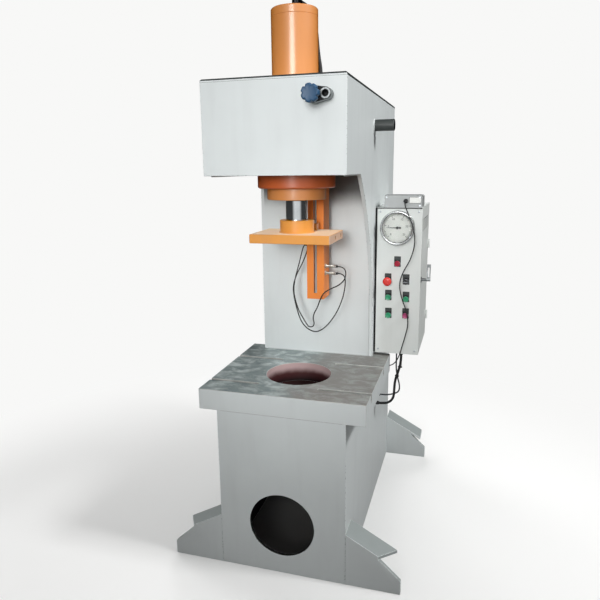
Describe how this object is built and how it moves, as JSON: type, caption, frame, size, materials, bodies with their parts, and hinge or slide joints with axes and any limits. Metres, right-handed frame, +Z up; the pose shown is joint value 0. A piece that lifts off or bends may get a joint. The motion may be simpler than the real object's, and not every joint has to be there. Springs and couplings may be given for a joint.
{
  "type": "single-column hydraulic press",
  "caption": "C-frame hydraulic press with an overhead cylinder and guided platen, a bored table with T-slots, spread feet, a side control cabinet and a built-in power unit.",
  "frame": {"origin": "where the ram axis meets the top face of the table, the centre of the die hole", "axes": "+Z up along the ram axis, +X to the operator's right, towards the control cabinet, +Y to the back of the machine"},
  "size_m": [1.0075, 1.374, 2.2835],
  "materials": {
    "frame_paint": "gloss",
    "cabinet_paint": "satin",
    "dark_steel": "black oxide",
    "machined_steel": "ground",
    "primer_paint": "matt primer",
    "red_orange_paint": "satin",
    "orange_paint": "satin",
    "yellow_orange_paint": "satin",
    "bronze": "machined",
    "plain_steel": "turned",
    "chromed_rod": "ground and polished",
    "nickel_brass": "nickel plated",
    "blue_plastic": "gloss",
    "zinc_plate": "zinc plated",
    "grey_plastic": "fine texture",
    "stainless": "polished",
    "white_enamel": "satin",
    "clear_glass": "clear",
    "black_enamel": "satin",
    "black_plastic": "fine texture",
    "red_lens": "gloss",
    "red_plastic": "gloss",
    "green_plastic": "gloss",
    "magenta_plastic": "gloss",
    "black_cable": "matt",
    "grey_cable": "matt",
    "hose_rubber": "matt",
    "raw_aluminium": "cast",
    "motor_paint": "satin"
  },
  "bodies": {
    "frame": {"side_plate_left": "frame_paint", "side_plate_right": "frame_paint", "head_front_plate": "frame_paint", "head_top_plate": "frame_paint", "head_bottom_plate": "frame_paint", "throat_plate": "frame_paint", "base_front_plate": "frame_paint", "rear_plate": "frame_paint", "rear_cover": "frame_paint", "front_feet": "frame_paint", "rear_feet": "frame_paint", "lifting_bar": "dark_steel", "table_slab": "machined_steel", "chute_ring": "primer_paint", "cylinder_barrel": "orange_paint", "cylinder_end_cap": "orange_paint", "mounting_flange": "red_orange_paint", "gland_flange": "orange_paint", "rod_bush": "bronze", "flange_bolts": "dark_steel", "guide_rail": "orange_paint", "proximity_sensors": "nickel_brass", "sensor_nuts": "nickel_brass", "valve_body": "dark_steel", "cabinet_box": "cabinet_paint", "terminal_box": "grey_plastic", "gauge_case": "stainless", "gauge_dial": "white_enamel", "gauge_glass": "clear_glass", "legend_plates": "black_plastic", "button_bezels": "black_plastic", "power_lamp": "red_lens", "cable_glands": "black_plastic", "sensor_cable_upper": "black_cable", "sensor_cable_lower": "black_cable", "signal_cable": "grey_cable", "cable_trunk": "black_cable", "loop_cable": "black_cable", "cable_ties": "black_plastic", "pressure_hose": "hose_rubber", "hose_fittings": "zinc_plate", "oil_tank": "frame_paint", "pump_unit": "raw_aluminium", "pump_motor": "motor_paint"},
    "ram": {"piston": "plain_steel", "piston_rod": "chromed_rod", "ram_hub": "orange_paint", "platen": "yellow_orange_paint", "guide_shoe": "yellow_orange_paint"},
    "handwheel": {"valve_handwheel": "blue_plastic"},
    "emergency_stop": {"estop_button": "red_plastic"},
    "start_left": {"start_button_left": "green_plastic"},
    "start_right": {"start_button_right": "green_plastic"},
    "jog_left": {"jog_button_left": "green_plastic"},
    "jog_right": {"jog_button_right": "magenta_plastic"},
    "selector": {"selector_knob": "black_plastic"},
    "door": {"cabinet_door": "cabinet_paint"},
    "latch": {"door_latch": "zinc_plate"},
    "pointer": {"gauge_pointer": "black_enamel"},
    "coupling": {"motor_coupling": "plain_steel"}
  },
  "joints": [
    {"name": "ram_slide", "type": "slide", "parent": "frame", "child": "ram", "axis": [0, 0, -1], "range_m": [-0.07, 0.21]},
    {"name": "valve_turn", "type": "hinge", "parent": "frame", "child": "handwheel", "pos_m": [0.16, -0.372, 1.105], "axis": [0, 1, 0], "range_deg": [-360, 360]},
    {"name": "estop_press", "type": "slide", "parent": "frame", "child": "emergency_stop", "axis": [0, 1, 0], "range_m": [0, 0.004]},
    {"name": "start_left_press", "type": "slide", "parent": "frame", "child": "start_left", "axis": [0, 1, 0], "range_m": [0, 0.004], "stiffness_N_per_m": 600, "springref_m": -0.002},
    {"name": "start_right_press", "type": "slide", "parent": "frame", "child": "start_right", "axis": [0, 1, 0], "range_m": [0, 0.004], "stiffness_N_per_m": 600, "springref_m": -0.002},
    {"name": "jog_left_press", "type": "slide", "parent": "frame", "child": "jog_left", "axis": [0, 1, 0], "range_m": [0, 0.004], "stiffness_N_per_m": 600, "springref_m": -0.002},
    {"name": "jog_right_press", "type": "slide", "parent": "frame", "child": "jog_right", "axis": [0, 1, 0], "range_m": [0, 0.004], "stiffness_N_per_m": 600, "springref_m": -0.002},
    {"name": "selector_turn", "type": "hinge", "parent": "frame", "child": "selector", "pos_m": [0.412, 0.322, 0.359], "axis": [0, 1, 0], "range_deg": [-45, 45]},
    {"name": "door_swing", "type": "hinge", "parent": "frame", "child": "door", "pos_m": [0.4815, 0.71625, 0.3], "axis": [0, 0, 1], "range_deg": [0, 110]},
    {"name": "latch_turn", "type": "hinge", "parent": "door", "child": "latch", "pos_m": [0.49, 0.367, 0.365], "axis": [1, 0, 0], "range_deg": [0, 90]},
    {"name": "pointer_turn", "type": "hinge", "parent": "frame", "child": "pointer", "pos_m": [0.37, 0.315, 0.604], "axis": [0, 1, 0], "range_deg": [-45, 225]},
    {"name": "coupling_spin", "type": "hinge", "parent": "frame", "child": "coupling", "pos_m": [0, 0.541, -0.33], "axis": [0, 0, 1], "continuous": true}
  ]
}
